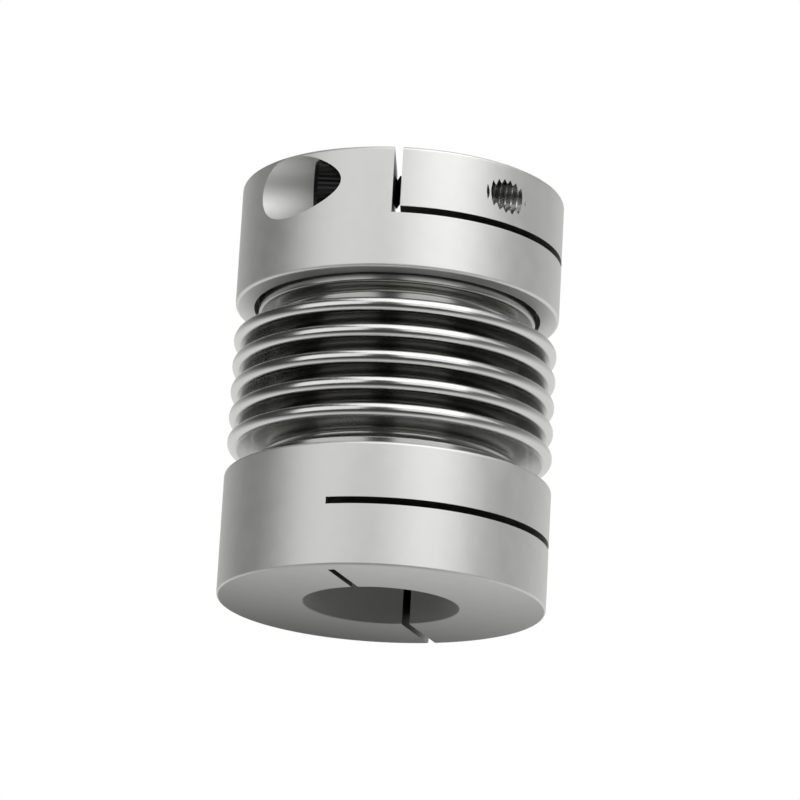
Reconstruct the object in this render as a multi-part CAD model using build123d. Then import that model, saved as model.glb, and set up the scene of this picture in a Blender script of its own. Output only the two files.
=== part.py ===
from build123d import *
from math import sqrt
import os

# A bellows coupling joins two shafts end to end. Each shaft goes into the bore of a clamp hub,
# and a thin steel bellows bonded between the two hubs takes up small errors of alignment.
# Frame: +Z runs along the shafts, from the lower hub to the upper one. The origin is the centre
# of the lower hub's outer face, and the upper hub's clamp slit faces -Y. All sizes in millimetres.

# Hubs: two alike, turned from aluminium bar.
outer_diameter = 20.0
hub_length = 7.6
bore_diameter = 9.5
edge_chamfer = 0.2
bore_chamfer = 0.1
hub_turn = 163.0  # degrees from the upper hub's slit round to the lower hub's slit

# Clamp: a cross slot frees one half of the hub's outer end as a jaw, and a slit opens it.
slot_from_face = 3.76
slot_width = 0.42
slit_width = 0.5
relief_width = 0.42
relief_wall = 0.95  # metal left outside the relief slit, on which the jaw bends

# Clamp screw: an M2 socket head cap screw, and its holes across the slit.
screw_from_rim = 2.55  # from the hub's outside in to the screw's axis
screw_from_face = 2.05
screw_seat = 3.05  # from the slit's middle to the seat under the head
screw_length = 8.0
thread_diameter = 2.0
thread_clearance = 0.02
shank_clearance = 0.1
tip_chamfer = 0.25
head_diameter = 3.7
head_height = 2.0
head_chamfer = 0.25
head_clearance = 0.1
socket_across_flats = 1.5
socket_depth = 1.0

# Bellows: one thin seamless tube, with convolutions pressed out of it and a cuff at each end.
convolutions = 5
convolution_pitch = 1.63
crest_width = 0.88
crest_under_hub = 0.05  # how far the crests lie inside the hubs' outside
root_diameter = 14.4
cuff_diameter = 17.1
wall = 0.15
upper_end_gap = 1.3  # from the top crest to the upper end flange
lower_end_gap = 0.8  # from the bottom crest to the lower end flange

# Seat of the bellows in each hub: a flat-bottomed recess, with room for adhesive round the cuff.
seat_depth = 1.2
upper_flange_from_hub = 0.5
lower_flange_from_hub = 0.8
adhesive_gap = 0.3

# Worked out from the sizes above.
hub_radius = outer_diameter / 2
bore_radius = bore_diameter / 2
thread_radius = thread_diameter / 2
head_radius = head_diameter / 2
slot_floor = slot_from_face + slot_width
recess_radius = cuff_diameter / 2 + adhesive_gap
recess_floor = hub_length - seat_depth
crest_stack = (convolutions - 1) * convolution_pitch + crest_width
bellows_length = lower_end_gap + crest_stack + upper_end_gap
lower_flange_height = hub_length + lower_flange_from_hub
upper_flange_height = lower_flange_height + bellows_length
first_crest = lower_flange_height + lower_end_gap + crest_width / 2
total_length = upper_flange_height + upper_flange_from_hub + hub_length
overcut = outer_diameter  # how far a cutter runs, so that it ends well past the metal


def turned(outline):
    """A solid of revolution about Z, from the corners of its outline as (radius, height)."""
    return revolve(Plane.XZ * make_face(Polyline(*outline, close=True)), Axis.Z)


def cutter(x_range, y_range, z_range):
    """The path of a flat cutter, between its limits along X, Y and Z."""
    limits = (x_range, y_range, z_range)
    spans = [high - low for low, high in limits]
    centre = [(low + high) / 2 for low, high in limits]
    return Pos(*centre) * Box(*spans)


def on_screw_axis(shape):
    """Lay a shape drawn along Z on the clamp screw's axis, with its zero at the head's seat."""
    return Pos(screw_seat, screw_from_rim - hub_radius, screw_from_face) * Rot(0, 90, 0) * shape


def hub_blank():
    """The turned hub: bored through, its edges broken, and recessed for the bellows inside."""
    return turned([
        (bore_radius + bore_chamfer, 0),
        (hub_radius - edge_chamfer, 0),
        (hub_radius, edge_chamfer),
        (hub_radius, hub_length - edge_chamfer),
        (hub_radius - edge_chamfer, hub_length),
        (recess_radius, hub_length),
        (recess_radius, recess_floor),
        (bore_radius, recess_floor),
        (bore_radius, bore_chamfer),
    ])


def clamp_cuts():
    """The cross slot, the slit through the wall, and the relief slit that stops short of it."""
    from_face_to_slot = (-overcut, slot_floor)
    slot = cutter((-overcut, slit_width / 2), (-overcut, overcut), (slot_from_face, slot_floor))
    slit = cutter((-slit_width / 2, slit_width / 2), (-overcut, 0), from_face_to_slot)
    relief_end = hub_radius - relief_wall
    relief = cutter((-relief_width / 2, relief_width / 2), (0, relief_end), from_face_to_slot)
    return slot + slit + relief


def screw_holes():
    """The counterbore, the clearance hole as far as the slit, and the tapped hole beyond it."""
    counterbore_radius = head_radius + head_clearance
    shank_radius = thread_radius + shank_clearance
    tapped_radius = thread_radius + thread_clearance
    return on_screw_axis(turned([
        (0, overcut),
        (counterbore_radius, overcut),
        (counterbore_radius, 0),
        (shank_radius, 0),
        (shank_radius, -screw_seat),
        (tapped_radius, -screw_seat),
        (tapped_radius, -overcut),
        (0, -overcut),
    ]))


def make_hub():
    """One clamp hub with its outer face at z = 0, its slit towards -Y and its screw head at +X."""
    return hub_blank() - clamp_cuts() - screw_holes()


def make_screw():
    """The clamp screw where its hub holds it, with its thread as a plain cylinder."""
    body = turned([
        (0, -screw_length),
        (thread_radius - tip_chamfer, -screw_length),
        (thread_radius, tip_chamfer - screw_length),
        (thread_radius, 0),
        (head_radius, 0),
        (head_radius, head_height - head_chamfer),
        (head_radius - head_chamfer, head_height),
        (0, head_height),
    ])
    hexagon = RegularPolygon(socket_across_flats / 2, 6, major_radius=False)
    socket = extrude(Pos(0, 0, head_height - socket_depth) * hexagon, head_height)
    return on_screw_axis(body - socket)


def bellows_face(depth):
    """One face of the bellows wall, up from the lower cuff's end, at a depth under the outside.
    Each round crest is drawn as three short straights that touch it, to keep the mesh light."""
    crest = hub_radius - crest_under_hub - depth
    root = root_diameter / 2 + wall - depth
    cuff = cuff_diameter / 2 - depth
    lower_flange = lower_flange_height - depth
    upper_flange = upper_flange_height + depth
    half_width = crest_width / 2 - depth
    bevel = half_width * (2 - sqrt(2))

    points = [(cuff, recess_floor), (cuff, lower_flange), (root, lower_flange)]
    for number in range(convolutions):
        middle = first_crest + number * convolution_pitch
        low = middle - half_width
        high = middle + half_width
        points += [(root, low), (crest - bevel, low), (crest, low + bevel)]
        points += [(crest, high - bevel), (crest - bevel, high), (root, high)]
    points += [(root, upper_flange), (cuff, upper_flange), (cuff, total_length - recess_floor)]
    return points


def make_bellows():
    """The bellows: one thin wall between its outside and its inside, closed at the cuffs' ends."""
    outside = bellows_face(0)
    inside = bellows_face(wall)
    return turned(outside + inside[::-1])


def in_lower_hub(shape):
    return Rot(0, 0, hub_turn) * shape


def in_upper_hub(shape):
    return Pos(0, 0, total_length) * Rot(0, 180, 0) * shape


hub = make_hub()
screw = make_screw()
nodes = {
    "lower_hub": in_lower_hub(hub),
    "lower_clamp_screw": in_lower_hub(screw),
    "bellows": make_bellows(),
    "upper_hub": in_upper_hub(hub),
    "upper_clamp_screw": in_upper_hub(screw),
}

os.makedirs("parts", exist_ok=True)
for name, solid in nodes.items():
    export_step(solid, f"parts/{name}.step")
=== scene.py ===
import bmesh
import bpy
import math
from mathutils import Matrix, Vector


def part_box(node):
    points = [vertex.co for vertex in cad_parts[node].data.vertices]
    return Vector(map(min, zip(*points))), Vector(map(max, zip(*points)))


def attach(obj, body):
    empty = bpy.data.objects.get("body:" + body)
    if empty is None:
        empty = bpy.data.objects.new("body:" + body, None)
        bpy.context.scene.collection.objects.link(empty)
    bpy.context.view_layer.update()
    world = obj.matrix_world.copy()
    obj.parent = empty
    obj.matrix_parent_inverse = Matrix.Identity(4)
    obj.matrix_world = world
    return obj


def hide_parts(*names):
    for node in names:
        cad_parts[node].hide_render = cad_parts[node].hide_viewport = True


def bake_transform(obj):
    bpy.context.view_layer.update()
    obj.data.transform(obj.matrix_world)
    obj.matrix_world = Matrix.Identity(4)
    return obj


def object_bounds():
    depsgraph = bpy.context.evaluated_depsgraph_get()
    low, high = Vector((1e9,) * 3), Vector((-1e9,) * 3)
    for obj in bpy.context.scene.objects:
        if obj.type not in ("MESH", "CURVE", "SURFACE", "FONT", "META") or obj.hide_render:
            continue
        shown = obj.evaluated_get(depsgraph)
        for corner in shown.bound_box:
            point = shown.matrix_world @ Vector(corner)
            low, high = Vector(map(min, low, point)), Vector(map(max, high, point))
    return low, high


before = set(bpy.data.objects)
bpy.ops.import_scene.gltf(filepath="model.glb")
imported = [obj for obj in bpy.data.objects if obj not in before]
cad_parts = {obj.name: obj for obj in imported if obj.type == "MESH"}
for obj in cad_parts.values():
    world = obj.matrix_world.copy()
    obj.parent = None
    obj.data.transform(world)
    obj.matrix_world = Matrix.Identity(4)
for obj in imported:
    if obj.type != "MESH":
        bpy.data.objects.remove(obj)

cad_low, cad_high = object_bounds()
mm = 0.001


# Camera: a long lens set a little below the coupling, so that it looks up at the lower hub's
# end face, and rolled so that the coupling leans to the right.
camera_distance = 259.5 * mm
camera_below = math.radians(16.16)
camera_round = math.radians(2.6)
camera_roll = math.radians(3.24)
sensor_width = 36
focal_length = 190
nearest_seen = 10 * mm
shift_right = 0.0095
shift_up = 0.0004

middle = Vector((0, 0, (cad_low.z + cad_high.z) / 2))
across = camera_distance * math.cos(camera_below)
bpy.ops.object.camera_add(location=middle + Vector((
    across * math.sin(camera_round),
    -across * math.cos(camera_round),
    -camera_distance * math.sin(camera_below),
)))
camera = bpy.context.object
camera.name = "camera"
camera.data.sensor_width = sensor_width
camera.data.lens = focal_length
camera.data.clip_start = nearest_seen
camera.data.shift_x = shift_right
camera.data.shift_y = shift_up
aim = (middle - camera.location).to_track_quat("-Z", "Y").to_matrix()
camera.rotation_euler = (aim @ Matrix.Rotation(camera_roll, 3, "Z")).to_euler()
bpy.context.scene.camera = camera
bpy.context.scene.view_settings.view_transform = "Standard"


# Studio: a white backdrop, four soft lamps and a pale floor. The camera is lower than the floor,
# so the floor is drawn only from above. It lets light up through it, but less of it under the
# coupling's foot and more towards the front there.
floor_radius = 400 * mm
floor_drop = 0.05 * mm
floor_steps = 96
floor_grey = 0.86
floor_roughness = 0.9
foot_margin = 1.1
light_under_foot = 0.43
light_slope = (9, -25, 0)
light_outside = 30
lamp_distance = 300 * mm


def joined(nodes, links, operation, first, second):
    """One value worked out from two, and held between 0 and 1."""
    node = nodes.new("ShaderNodeMath")
    node.operation = operation
    node.use_clamp = True
    links.new(first, node.inputs[0])
    links.new(second, node.inputs[1])
    return node.outputs[0]


def rescaled(nodes, links, value, from_range, to_range, kind="SMOOTHSTEP"):
    """A value taken from one range to another, and eased at both ends unless it is LINEAR."""
    ramp = nodes.new("ShaderNodeMapRange")
    ramp.interpolation_type = kind
    ramp.inputs["From Min"].default_value, ramp.inputs["From Max"].default_value = from_range
    ramp.inputs["To Min"].default_value, ramp.inputs["To Max"].default_value = to_range
    links.new(value, ramp.inputs["Value"])
    return ramp.outputs["Result"]


bpy.ops.mesh.primitive_circle_add(
    vertices=floor_steps, radius=floor_radius, fill_type="NGON", location=(0, 0, cad_low.z - floor_drop))
floor = bpy.context.object
floor.name = "floor"
floor_paint = bpy.data.materials.new("floor_paint")
floor_paint.use_nodes = True
nodes, links = floor_paint.node_tree.nodes, floor_paint.node_tree.links
paint = nodes["Principled BSDF"]
paint.inputs["Base Color"].default_value = (floor_grey, floor_grey, floor_grey, 1)
paint.inputs["Roughness"].default_value = floor_roughness
place = nodes.new("ShaderNodeTexCoord").outputs["Object"]
slope = nodes.new("ShaderNodeVectorMath")
slope.operation = "DOT_PRODUCT"
slope.inputs[1].default_value = light_slope
links.new(place, slope.inputs[0])
from_foot = nodes.new("ShaderNodeVectorMath")
from_foot.operation = "LENGTH"
links.new(place, from_foot.inputs[0])
let_through = rescaled(
    nodes, links, from_foot.outputs["Value"],
    (cad_high.x, cad_high.x * foot_margin), (light_under_foot, light_outside), "LINEAR")
let_through = joined(nodes, links, "ADD", slope.outputs["Value"], let_through)
seen = nodes.new("ShaderNodeLightPath").outputs["Is Camera Ray"]
clear = nodes.new("ShaderNodeBsdfTransparent")
links.new(joined(nodes, links, "ADD", let_through, seen), clear.inputs["Color"])
back = nodes.new("ShaderNodeNewGeometry").outputs["Backfacing"]
shown = nodes.new("ShaderNodeMixShader")
links.new(joined(nodes, links, "SUBTRACT", seen, back), shown.inputs["Fac"])
links.new(clear.outputs[0], shown.inputs[1])
links.new(paint.outputs[0], shown.inputs[2])
links.new(shown.outputs[0], nodes["Material Output"].inputs["Surface"])
floor.data.materials.append(floor_paint)

world = bpy.data.worlds.new("studio")
bpy.context.scene.world = world
world.use_nodes = True
nodes, links = world.node_tree.nodes, world.node_tree.links


def toward(nodes, links, direction, from_range, to_range):
    """A value over the surround, by how far a ray points along this direction."""
    along = nodes.new("ShaderNodeVectorMath")
    along.operation = "DOT_PRODUCT"
    along.inputs[1].default_value = direction
    links.new(nodes.new("ShaderNodeTexCoord").outputs["Generated"], along.inputs[0])
    return rescaled(nodes, links, along.outputs["Value"], from_range, to_range)


surround = nodes["Background"]
surround.inputs["Color"].default_value = (1, 1, 1, 1)
room = toward(nodes, links, direction=(1, 0.1, 0.2), from_range=(0.3, 1), to_range=(0.05, 0.18))
links.new(room, surround.inputs["Strength"])
backdrop = nodes.new("ShaderNodeBackground")
backdrop.inputs["Color"].default_value = (1, 1, 1, 1)
backdrop.inputs["Strength"].default_value = 1.0
ray = nodes.new("ShaderNodeLightPath")
mirrored = joined(nodes, links, "ADD", ray.outputs["Is Glossy Ray"], ray.outputs["Is Transmission Ray"])
behind = toward(nodes, links, direction=(0.08, 0.85, -0.85), from_range=(-0.2, 0.75), to_range=(0, 0.85))
mirrored = joined(nodes, links, "MULTIPLY", mirrored, behind)
either = nodes.new("ShaderNodeMixShader")
links.new(joined(nodes, links, "ADD", ray.outputs["Is Camera Ray"], mirrored), either.inputs["Fac"])
links.new(surround.outputs[0], either.inputs[1])
links.new(backdrop.outputs[0], either.inputs[2])
links.new(either.outputs[0], nodes["World Output"].inputs["Surface"])


def soft_lamp(name, turn, rise, width, height, brightness):
    """A soft lamp that faces the coupling, turned round it from the front and raised, in degrees."""
    turn, rise = math.radians(turn), math.radians(rise)
    level = math.cos(rise)
    at = Vector((math.sin(turn) * level, -math.cos(turn) * level, math.sin(rise)))
    bpy.ops.object.light_add(type="AREA", location=middle + at * lamp_distance)
    lamp = bpy.context.object
    lamp.name = name
    lamp.data.shape = "RECTANGLE"
    lamp.data.size = width
    lamp.data.size_y = height
    lamp.data.energy = brightness * math.pi * width * height
    lamp.rotation_euler = at.to_track_quat("Z", "Y").to_euler()


soft_lamp("right_lamp", turn=30, rise=20, width=270 * mm, height=320 * mm, brightness=1.12)
soft_lamp("side_lamp", turn=67, rise=42, width=220 * mm, height=220 * mm, brightness=0.65)
soft_lamp("left_lamp", turn=-43, rise=15, width=290 * mm, height=250 * mm, brightness=1.1)
soft_lamp("top_lamp", turn=18, rise=60, width=350 * mm, height=310 * mm, brightness=1.4)


# Hubs: two alike, turned from aluminium bar, bored, slotted and drilled for the clamp screw,
# then bead blasted to an even satin. Each is modelled with its outer face at z = 0.
hub_low, hub_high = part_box("upper_hub")
hub_radius = hub_high.x
hub_length = hub_high.z - hub_low.z
coupling_length = hub_high.z
bore_radius = 4.75 * mm
recess_radius = 8.85 * mm
recess_depth = 1.2 * mm
rim_round = 0.2 * mm
bore_round = 0.1 * mm
slot_from_face = 3.76 * mm
slot_width = 0.42 * mm
slit_width = 0.5 * mm
relief_width = 0.42 * mm
relief_wall = 0.95 * mm
screw_from_rim = 2.55 * mm
screw_from_face = 2.05 * mm
screw_seat = 3.05 * mm
counterbore_radius = 1.95 * mm
shank_hole_radius = 1.1 * mm
tapping_radius = 0.82 * mm
tapped_groove_radius = 1.08 * mm
tapped_turns = 25
thread_pitch = 0.35 * mm
thread_groove = 0.335 * mm
thread_start = -11 * mm
thread_steps = 36
hub_steps = 360
hole_steps = 96
lower_hub_turn = math.radians(163)
well_past = 20 * mm
sliver = 0.003 * mm
same_place = 0.005 * mm
order_point = (31.3 * mm, 17.1 * mm, 53.3 * mm)
smooth_below = math.radians(30)
noise_middle = (0.3, 0.7)
blast_grit = 18000
blast_depth = 0.01 * mm


def only(piece):
    """Select this piece and nothing else, and make it the active one."""
    bpy.ops.object.select_all(action="DESELECT")
    piece.select_set(True)
    bpy.context.view_layer.objects.active = piece


def edit(piece, mode):
    """Open one piece in edit mode, in vertex, edge or face mode, with nothing selected."""
    only(piece)
    bpy.ops.object.mode_set(mode="EDIT")
    bpy.ops.mesh.select_mode(type=mode)
    bpy.ops.mesh.select_all(action="DESELECT")


def near(value, target):
    return abs(value - target) < same_place


def radius_of(point):
    return math.hypot(point.x, point.y)


def select_faces(wanted):
    """Select just the faces of the edited piece whose centre and normal pass the test."""
    bpy.ops.mesh.select_all(action="DESELECT")
    mesh = bmesh.from_edit_mesh(bpy.context.object.data)
    for face in mesh.faces:
        if wanted(face.calc_center_median(), face.normal):
            face.select_set(True)
    bmesh.update_edit_mesh(bpy.context.object.data)


def select_rings(wanted):
    """Select just the level edges of the edited piece whose two ends both pass the test."""
    bpy.ops.mesh.select_all(action="DESELECT")
    mesh = bmesh.from_edit_mesh(bpy.context.object.data)
    for edge in mesh.edges:
        first, second = (vert.co for vert in edge.verts)
        if near(first.z, second.z) and wanted(first) and wanted(second):
            edge.select_set(True)
    bmesh.update_edit_mesh(bpy.context.object.data)


def cylinder(name, radius, bottom, top, steps):
    """A closed cylinder on Z between two heights."""
    bpy.ops.mesh.primitive_cylinder_add(
        vertices=steps, radius=radius, depth=top - bottom, location=(0, 0, (top + bottom) / 2))
    bpy.ops.object.transform_apply(location=True, rotation=True, scale=True)
    bpy.context.object.name = name
    return bpy.context.object


def block(x_range, y_range, z_range):
    """A closed block between its limits along X, Y and Z."""
    limits = (x_range, y_range, z_range)
    bpy.ops.mesh.primitive_cube_add(
        size=1,
        location=[(low + high) / 2 for low, high in limits],
        scale=[high - low for low, high in limits])
    bpy.ops.object.transform_apply(location=True, rotation=True, scale=True)
    return bpy.context.object


def smooth(piece, weigh="FACE_AREA"):
    """Shade the piece smooth but for its sharp edges, led by its larger faces or its strong ones."""
    only(piece)
    bpy.ops.object.shade_smooth_by_angle(angle=smooth_below)
    normals = piece.modifiers.new("normals", "WEIGHTED_NORMAL")
    normals.mode = weigh
    normals.keep_sharp = True
    normals.use_face_influence = True
    bpy.ops.object.modifier_apply(modifier=normals.name)


def put_in_order(piece):
    """Sort the piece's mesh by its distance from one odd point, so that every run cuts it alike."""
    edit(piece, "FACE")
    bpy.ops.mesh.select_all(action="SELECT")
    bpy.context.scene.cursor.location = order_point
    bpy.ops.mesh.sort_elements(type="CURSOR_DISTANCE", elements={"VERT", "EDGE", "FACE"})
    bpy.context.scene.cursor.location = (0, 0, 0)
    bpy.ops.object.mode_set(mode="OBJECT")


def clean_cuts(piece):
    """Merge the slivers that cutting leaves, and delete what lies back to back or stands loose."""
    edit(piece, "FACE")
    bpy.ops.mesh.select_all(action="SELECT")
    bpy.ops.mesh.remove_doubles(threshold=sliver)
    bpy.ops.mesh.quads_convert_to_tris()
    bpy.ops.mesh.dissolve_degenerate(threshold=sliver)
    bpy.ops.mesh.remove_doubles(threshold=sliver)
    bpy.ops.mesh.quads_convert_to_tris()
    bpy.ops.mesh.select_all(action="DESELECT")
    mesh = bmesh.from_edit_mesh(piece.data)
    seen = {}
    for face in mesh.faces:
        twin = seen.setdefault(frozenset(face.verts), face)
        if twin is not face:
            face.select_set(True)
            twin.select_set(True)
    bmesh.update_edit_mesh(piece.data)
    bpy.ops.mesh.delete(type="FACE")
    mesh = bmesh.from_edit_mesh(piece.data)
    for face in mesh.faces:
        meetings = [len(edge.link_faces) for edge in face.edges]
        face.select_set(min(meetings) == 1 and max(meetings) > 2)
    bmesh.update_edit_mesh(piece.data)
    bpy.ops.mesh.delete(type="FACE")
    bpy.ops.mesh.select_all(action="SELECT")
    bpy.ops.mesh.delete_loose()
    bpy.ops.object.mode_set(mode="OBJECT")


def cut_away(piece, cutter, finish):
    """Take the cutter's shape out of the piece, leave this finish on the cut, and delete the cutter."""
    cutter.data.materials.append(finish)
    only(piece)
    cut = piece.modifiers.new("cut", "BOOLEAN")
    cut.operation = "DIFFERENCE"
    cut.solver = "EXACT"
    cut.object = cutter
    cut.material_mode = "TRANSFER"
    bpy.ops.object.modifier_apply(modifier=cut.name)
    bpy.data.objects.remove(cutter)
    put_in_order(piece)


def thread_cutter(apex_radius, points_in, bottom, turns):
    """A right-hand helix of three-sided section about Z, with its apex inwards or outwards."""
    reach = thread_groove / math.sqrt(3)
    centre = apex_radius + reach if points_in else apex_radius - reach
    bpy.ops.mesh.primitive_circle_add(vertices=3, radius=reach, fill_type="NOTHING")
    helix = bpy.context.object
    helix.data.transform(
        Matrix.Translation((centre, 0, bottom))
        @ Matrix.Rotation(math.radians(90), 4, "X")
        @ Matrix.Rotation(math.radians(90 if points_in else -90), 4, "Z"))
    sweep = helix.modifiers.new("sweep", "SCREW")
    sweep.axis = "Z"
    sweep.angle = math.tau
    sweep.screw_offset = thread_pitch
    sweep.iterations = turns
    sweep.steps = thread_steps
    sweep.render_steps = thread_steps
    only(helix)
    bpy.ops.object.modifier_apply(modifier=sweep.name)
    edit(helix, "EDGE")
    bpy.ops.mesh.select_all(action="SELECT")
    bpy.ops.mesh.fill_holes(sides=3)
    bpy.ops.mesh.normals_make_consistent(inside=False)
    bpy.ops.object.mode_set(mode="OBJECT")
    return helix


def on_screw_axis(piece):
    """Lay a piece drawn along Z on the clamp screw's axis, with its zero at the head's seat."""
    piece.data.transform(
        Matrix.Translation((screw_seat, screw_from_rim - hub_radius, screw_from_face))
        @ Matrix.Rotation(math.radians(90), 4, "Y"))
    return piece


def metal(name, colour, roughness):
    """A plain metal, with its nodes, its links, its shader and the place on the piece."""
    finish = bpy.data.materials.new(name)
    finish.use_nodes = True
    nodes, links = finish.node_tree.nodes, finish.node_tree.links
    shader = nodes["Principled BSDF"]
    shader.inputs["Base Color"].default_value = (*colour, 1)
    shader.inputs["Metallic"].default_value = 1
    shader.inputs["Roughness"].default_value = roughness
    place = nodes.new("ShaderNodeTexCoord").outputs["Object"]
    return finish, nodes, links, shader, place


def grain(nodes, links, place, scale, detail=2.0):
    """A noise at this many spots to the metre, on the place that it is given."""
    noise = nodes.new("ShaderNodeTexNoise")
    noise.inputs["Scale"].default_value = scale
    noise.inputs["Detail"].default_value = detail
    links.new(place, noise.inputs["Vector"])
    return noise.outputs["Fac"]


def spread(nodes, links, noise, low, high):
    """A noise's middle stretched between two values."""
    return rescaled(nodes, links, noise, noise_middle, (low, high), "LINEAR")


def shaded(nodes, links, value, dark, light):
    """A colour between two greys, by a noise or another value."""
    ramp = nodes.new("ShaderNodeValToRGB")
    for stop, position, grey in zip(ramp.color_ramp.elements, noise_middle, (dark, light)):
        stop.position = position
        stop.color = (*grey, 1)
    links.new(value, ramp.inputs["Fac"])
    return ramp.outputs["Color"]


def raised(nodes, links, height, depth, strength, shader):
    """Small relief of this depth under the shader, from a noise."""
    bump = nodes.new("ShaderNodeBump")
    bump.inputs["Distance"].default_value = depth
    bump.inputs["Strength"].default_value = strength
    links.new(height, bump.inputs["Height"])
    links.new(bump.outputs["Normal"], shader.inputs["Normal"])


def worked(name, colour, smoothest, roughest, patches, grit, depth, strength):
    """A metal whose roughness drifts in patches, with a finer grit raised on it."""
    finish, nodes, links, shader, place = metal(name, colour, (smoothest + roughest) / 2)
    patchy = grain(nodes, links, place, patches)
    links.new(spread(nodes, links, patchy, smoothest, roughest), shader.inputs["Roughness"])
    raised(nodes, links, grain(nodes, links, place, grit), depth, strength, shader)
    return finish


blasted, nodes, links, shader, place = metal("blasted_aluminium", (0.78, 0.78, 0.77), 0.5)
cloud = grain(nodes, links, place, 900)
clouded = shaded(nodes, links, cloud, (0.77, 0.77, 0.76), (0.80, 0.80, 0.79))
links.new(clouded, shader.inputs["Base Color"])
links.new(spread(nodes, links, cloud, 0.50, 0.53), shader.inputs["Roughness"])
raised(nodes, links, grain(nodes, links, place, blast_grit), blast_depth, 0.25, shader)

# The sawn and drilled faces are painted dark grey: a painted shade for the depth of the slots, slit and
# shank hole.
cut_metal_painted_shade = worked(
    "cut_aluminium_painted_shade", (0.28, 0.28, 0.27), smoothest=0.34, roughest=0.46,
    patches=6000, grit=9000, depth=0.01 * mm, strength=0.2)
bored = worked(
    "bored_aluminium", (0.84, 0.84, 0.83), smoothest=0.58, roughest=0.66,
    patches=5000, grit=blast_grit, depth=blast_depth, strength=0.25)
rough_bored = worked(
    "rough_bored_aluminium", (0.84, 0.84, 0.83), smoothest=0.86, roughest=0.94,
    patches=5000, grit=blast_grit, depth=blast_depth, strength=0.25)
tapped = worked(
    "tapped_aluminium", (0.56, 0.56, 0.55), smoothest=0.20, roughest=0.30,
    patches=5000, grit=blast_grit, depth=blast_depth, strength=0.15)


def faces_up(centre, normal):
    return normal.z > 0.9


def faces_down(centre, normal):
    return normal.z < -0.9


def fills_bore(centre, normal):
    return abs(normal.z) > 0.9 and radius_of(centre) < bore_radius / 2


def bore_wall(centre, normal):
    return abs(normal.z) < 0.05 and near(radius_of(centre), bore_radius)


def plain_wall(centre, normal):
    """True for the hub's end faces, outer wall and bore, and not for the rounded rims."""
    end_face = near(centre.z, 0) or near(centre.z, hub_length)
    outer_wall = abs(normal.z) < 0.05 and near(radius_of(centre), hub_radius)
    return end_face or outer_wall or bore_wall(centre, normal)


def hub_blank():
    """The turned hub, with its recess and its bore, and its rims rounded by the blasting."""
    hub = cylinder("hub", hub_radius, 0, hub_length, hub_steps)
    hub.data.materials.append(blasted)
    hub.data.materials.append(rough_bored)
    edit(hub, "FACE")
    select_faces(faces_up)
    bpy.ops.mesh.inset(thickness=hub_radius - recess_radius)
    bpy.ops.mesh.extrude_region_move(TRANSFORM_OT_translate={"value": (0, 0, -recess_depth)})
    bpy.ops.mesh.inset(thickness=recess_radius - bore_radius)
    select_faces(faces_down)
    bpy.ops.mesh.inset(thickness=hub_radius - bore_radius)
    select_faces(fills_bore)
    bpy.ops.mesh.bridge_edge_loops()
    select_faces(bore_wall)
    hub.active_material_index = 1
    bpy.ops.object.material_slot_assign()
    bpy.ops.mesh.select_mode(type="EDGE")
    for height in (0, hub_length):
        select_rings(lambda end: near(radius_of(end), hub_radius) and near(end.z, height))
        bpy.ops.mesh.bevel(offset=rim_round, segments=4, affect="EDGES")
    select_rings(lambda end: near(radius_of(end), bore_radius) and near(end.z, 0))
    bpy.ops.mesh.bevel(offset=bore_round, segments=3, affect="EDGES")
    bpy.ops.object.mode_set(mode="OBJECT")
    return hub


def finished_hub():
    """The hub with its cross slot, slit and relief slit sawn, and its screw hole made."""
    hub = hub_blank()
    slot_floor = slot_from_face + slot_width
    slit = slit_width / 2
    relief = relief_width / 2
    slot_cutter = block((-well_past, slit), (-well_past, well_past), (slot_from_face, slot_floor))
    slit_cutter = block((-slit, slit), (-well_past, 0), (-well_past, slot_floor))
    relief_cutter = block((-relief, relief), (0, hub_radius - relief_wall), (-well_past, slot_floor))
    counterbore = cylinder("counterbore", counterbore_radius, 0, well_past, hole_steps)
    shank_hole = cylinder("shank_hole", shank_hole_radius, -screw_seat, counterbore_radius, hole_steps)
    tapping_hole = cylinder("tapping_hole", tapping_radius, -well_past, -screw_seat, hole_steps)
    tap = thread_cutter(tapped_groove_radius, False, thread_start + thread_pitch / 2, tapped_turns)
    for cutter, finish in (
        (slot_cutter, cut_metal_painted_shade),
        (slit_cutter, cut_metal_painted_shade),
        (relief_cutter, cut_metal_painted_shade),
        (on_screw_axis(counterbore), bored),
        (on_screw_axis(shank_hole), cut_metal_painted_shade),
        (on_screw_axis(tapping_hole), tapped),
        (on_screw_axis(tap), tapped),
    ):
        cut_away(hub, cutter, finish)
    clean_cuts(hub)
    # The plain walls are marked to lead the shading, ahead of the rounded rims beside them.
    edit(hub, "FACE")
    select_faces(plain_wall)
    bpy.ops.mesh.mod_weighted_strength(set=True, face_strength="STRONG")
    bpy.ops.object.mode_set(mode="OBJECT")
    smooth(hub, "CORNER_ANGLE")
    return hub


def to_lower_hub(piece):
    """Turn a piece about Z to its place in the lower hub."""
    piece.data.transform(Matrix.Rotation(lower_hub_turn, 4, "Z"))
    return piece


def to_upper_hub(piece):
    """Turn a piece end for end to its place in the upper hub."""
    piece.data.transform(
        Matrix.Translation((0, 0, coupling_length)) @ Matrix.Rotation(math.pi, 4, "Y"))
    return piece


def copy_of(piece, name):
    """A second piece with its own mesh."""
    double = piece.copy()
    double.data = piece.data.copy()
    double.name = name
    bpy.context.collection.objects.link(double)
    return double


lower_hub = finished_hub()
upper_hub = to_upper_hub(copy_of(lower_hub, "blasted_upper_hub"))
to_lower_hub(lower_hub).name = "blasted_lower_hub"
for piece, node, body in (
    (upper_hub, "upper_hub", "upper_half"),
    (lower_hub, "lower_hub", "lower_half"),
):
    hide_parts(node)
    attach(piece, body)


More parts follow.
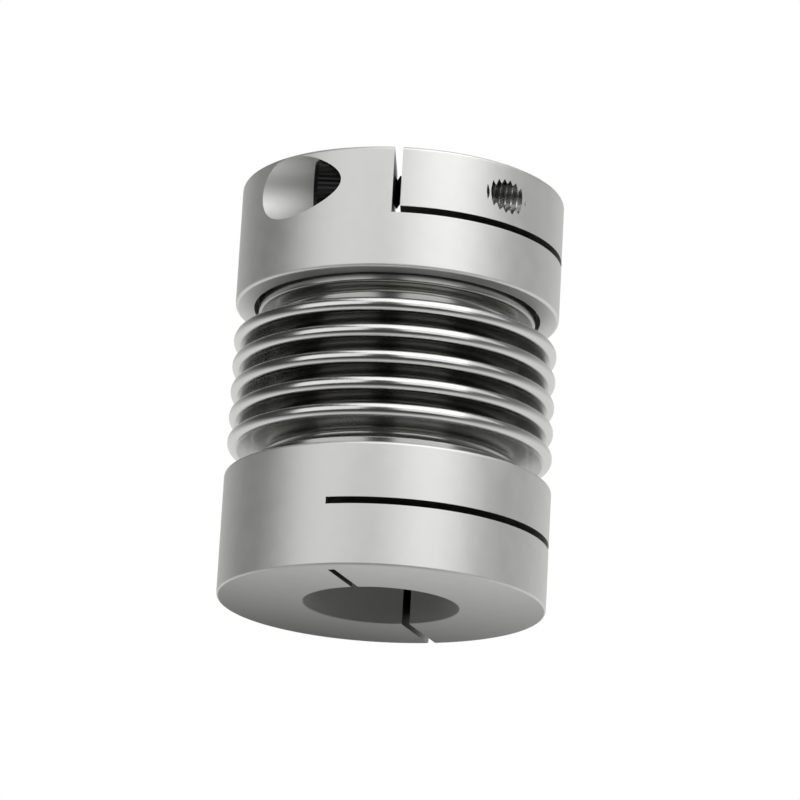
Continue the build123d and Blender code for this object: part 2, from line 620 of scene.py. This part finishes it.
# Clamp screws: M2 socket head cap screws of blackened steel, with a straight knurl round the
# head. Each goes through the plain half of its hub and across the slit into the tapped jaw.
shank_radius = 1.0 * mm
screw_length = 8.0 * mm
tip_chamfer = 0.25 * mm
head_radius = 1.845 * mm
head_height = 2.0 * mm
head_chamfer = 0.25 * mm
knurl_ridges = 40
knurl_depth = 0.07 * mm
socket_across_flats = 1.5 * mm
socket_depth = 1.0 * mm
thread_root_radius = 0.74 * mm
screw_turns = 31

blackened = worked(
    "blackened_steel", (0.02, 0.02, 0.02), smoothest=0.32, roughest=0.46,
    patches=3000, grit=20000, depth=0.004 * mm, strength=0.3)


def extrude_to(rise, scale):
    """Extrude what is selected up or down, and then widen or narrow it about Z."""
    bpy.ops.mesh.extrude_region_move(TRANSFORM_OT_translate={"value": (0, 0, rise)})
    bpy.ops.transform.resize(value=(scale, scale, 1), center_override=(0, 0, 0))


def clamp_screw():
    """One screw along Z, its head's seat at zero and its tip below."""
    screw = cylinder("screw", shank_radius, tip_chamfer - screw_length, 0, 2 * knurl_ridges)
    screw.data.materials.append(blackened)
    edit(screw, "FACE")
    select_faces(faces_down)
    extrude_to(-tip_chamfer, (shank_radius - tip_chamfer) / shank_radius)
    select_faces(faces_up)
    extrude_to(0, head_radius / shank_radius)
    extrude_to(head_height - head_chamfer, 1)
    extrude_to(head_chamfer, (head_radius - head_chamfer) / head_radius)
    bpy.ops.mesh.select_all(action="DESELECT")
    mesh = bmesh.from_edit_mesh(screw.data)
    for vert in mesh.verts:
        step = round(math.atan2(vert.co.y, vert.co.x) * knurl_ridges / math.pi)
        if near(radius_of(vert.co), head_radius) and step % 2:
            vert.select_set(True)
    bmesh.update_edit_mesh(screw.data)
    groove = (head_radius - knurl_depth) / head_radius
    bpy.ops.transform.resize(value=(groove, groove, 1), center_override=(0, 0, 0))
    bpy.ops.mesh.select_all(action="SELECT")
    bpy.ops.mesh.normals_make_consistent(inside=False)
    bpy.ops.object.mode_set(mode="OBJECT")
    corner = socket_across_flats / math.sqrt(3)
    socket = cylinder("socket", corner, head_height - socket_depth, 2 * head_height, 6)
    cut_away(screw, socket, blackened)
    cut_away(screw, thread_cutter(thread_root_radius, True, thread_start, screw_turns), blackened)
    clean_cuts(screw)
    smooth(screw)
    return screw


lower_screw = on_screw_axis(clamp_screw())
upper_screw = to_upper_hub(copy_of(lower_screw, "knurled_upper_screw"))
to_lower_hub(lower_screw).name = "knurled_lower_screw"
for piece, node, body in (
    (upper_screw, "upper_clamp_screw", "upper_half"),
    (lower_screw, "lower_clamp_screw", "lower_half"),
):
    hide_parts(node)
    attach(piece, body)


# Bellows: one thin seamless tube of stainless steel. Its convolutions are pressed outwards, its
# ends turn out into flanges, and the cuffs beyond them are bonded in the hubs' recesses.
convolutions = 5
convolution_pitch = 1.63 * mm
crest_width = 0.88 * mm
crest_radius = 9.95 * mm
root_radius = 7.35 * mm
cuff_radius = 8.55 * mm
wall = 0.15 * mm
upper_flange_from_hub = 0.5 * mm
lower_flange_from_hub = 0.8 * mm
lower_end_gap = 0.8 * mm
bend_flat = 0.02 * mm
cuff_bend = 0.2 * mm
round_steps = 192
draw_rings = 3500
# Radii over which the bellows' painted shade fades out, towards the crests and towards the roots.
crest_shade_fade = (8.9 * mm, 9.7 * mm)
root_shade_fade = (8.3 * mm, 7.6 * mm)
root_shade = 0.45
flange_shade = 0.5
valleys_middle = coupling_length / 2 - 0.1 * mm
valleys_reach = 3.5 * mm


def ring_to(radius, height):
    """Extrude the selected ring to a new radius and height."""
    mesh = bmesh.from_edit_mesh(bpy.context.object.data)
    here = next(vert.co for vert in mesh.verts if vert.select)
    extrude_to(height - here.z, radius / radius_of(here))


def flange_corner(end):
    """True where a flange turns into its cuff, and not at the cuff's open end."""
    inside = bellows_low.z + wall < end.z < bellows_high.z - wall
    return inside and near(radius_of(end), cuff_radius)


bellows_low, bellows_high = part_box("bellows")
lower_flange = hub_length + lower_flange_from_hub
upper_flange = coupling_length - hub_length - upper_flange_from_hub
bpy.ops.mesh.primitive_circle_add(vertices=round_steps, radius=cuff_radius, fill_type="NOTHING")
bellows = bpy.context.object
bellows.name = "pressed_bellows"
bellows.data.transform(Matrix.Translation((0, 0, bellows_low.z)))
edit(bellows, "EDGE")
bpy.ops.mesh.select_all(action="SELECT")
ring_to(cuff_radius, lower_flange)
ring_to(root_radius, lower_flange)
for number in range(convolutions):
    crest_low = lower_flange + lower_end_gap + number * convolution_pitch
    ring_to(root_radius, crest_low)
    ring_to(crest_radius, crest_low)
    ring_to(crest_radius, crest_low + crest_width)
    ring_to(root_radius, crest_low + crest_width)
ring_to(root_radius, upper_flange)
ring_to(cuff_radius, upper_flange)
ring_to(cuff_radius, bellows_high.z)

crest_bend = (crest_width - bend_flat) / 2
root_bend = (convolution_pitch - crest_width - bend_flat) / 2
for radius, bend in ((crest_radius, crest_bend), (root_radius, root_bend)):
    select_rings(lambda end: near(radius_of(end), radius))
    bpy.ops.mesh.bevel(offset=bend, segments=8, affect="EDGES")
select_rings(flange_corner)
bpy.ops.mesh.bevel(offset=cuff_bend, segments=5, affect="EDGES")
bpy.ops.mesh.select_all(action="SELECT")
bpy.ops.mesh.normals_make_consistent(inside=False)
bpy.ops.object.mode_set(mode="OBJECT")
only(bellows)
thicken = bellows.modifiers.new("wall", "SOLIDIFY")
thicken.thickness = wall
thicken.offset = -1
thicken.use_even_offset = True
bpy.ops.object.modifier_apply(modifier=thicken.name)
smooth(bellows)

drawn, nodes, links, shader, place = metal("drawn_stainless_painted_shade", (0.62, 0.60, 0.55), 0.2)
split = nodes.new("ShaderNodeSeparateXYZ")
links.new(place, split.inputs[0])
level = nodes.new("ShaderNodeCombineXYZ")
links.new(split.outputs["X"], level.inputs["X"])
links.new(split.outputs["Y"], level.inputs["Y"])
length = nodes.new("ShaderNodeVectorMath")
length.operation = "LENGTH"
links.new(level.outputs[0], length.inputs[0])
from_axis = length.outputs["Value"]
along = nodes.new("ShaderNodeCombineXYZ")
links.new(from_axis, along.inputs["X"])
links.new(split.outputs["Z"], along.inputs["Z"])
rings = grain(nodes, links, along.outputs[0], draw_rings, 3)
links.new(spread(nodes, links, rings, 0.19, 0.27), shader.inputs["Roughness"])
raised(nodes, links, rings, 0.003 * mm, 0.12, shader)

# Painted shade in the steel's colour: none on the crests, some on the end flanges and at the roots,
# and the most on the flanks of the convolutions, which mirror only one another.
in_valleys = nodes.new("ShaderNodeMath")
in_valleys.operation = "COMPARE"
in_valleys.inputs[1].default_value = valleys_middle
in_valleys.inputs[2].default_value = valleys_reach
links.new(split.outputs["Z"], in_valleys.inputs[0])
flanges = nodes.new("ShaderNodeMath")
flanges.operation = "SUBTRACT"
flanges.inputs[0].default_value = flange_shade
links.new(in_valleys.outputs[0], flanges.inputs[1])
crests = rescaled(nodes, links, from_axis, crest_shade_fade, (0, 1))
roots = rescaled(nodes, links, from_axis, root_shade_fade, (0, root_shade))
out_of_shade = joined(nodes, links, "MAXIMUM", crests, flanges.outputs[0])
out_of_shade = joined(nodes, links, "MAXIMUM", out_of_shade, roots)
painted_shade = shaded(nodes, links, out_of_shade, (0.16, 0.165, 0.15), (0.66, 0.66, 0.635))
links.new(painted_shade, shader.inputs["Base Color"])
bellows.data.materials.append(drawn)
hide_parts("bellows")
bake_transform(bellows)
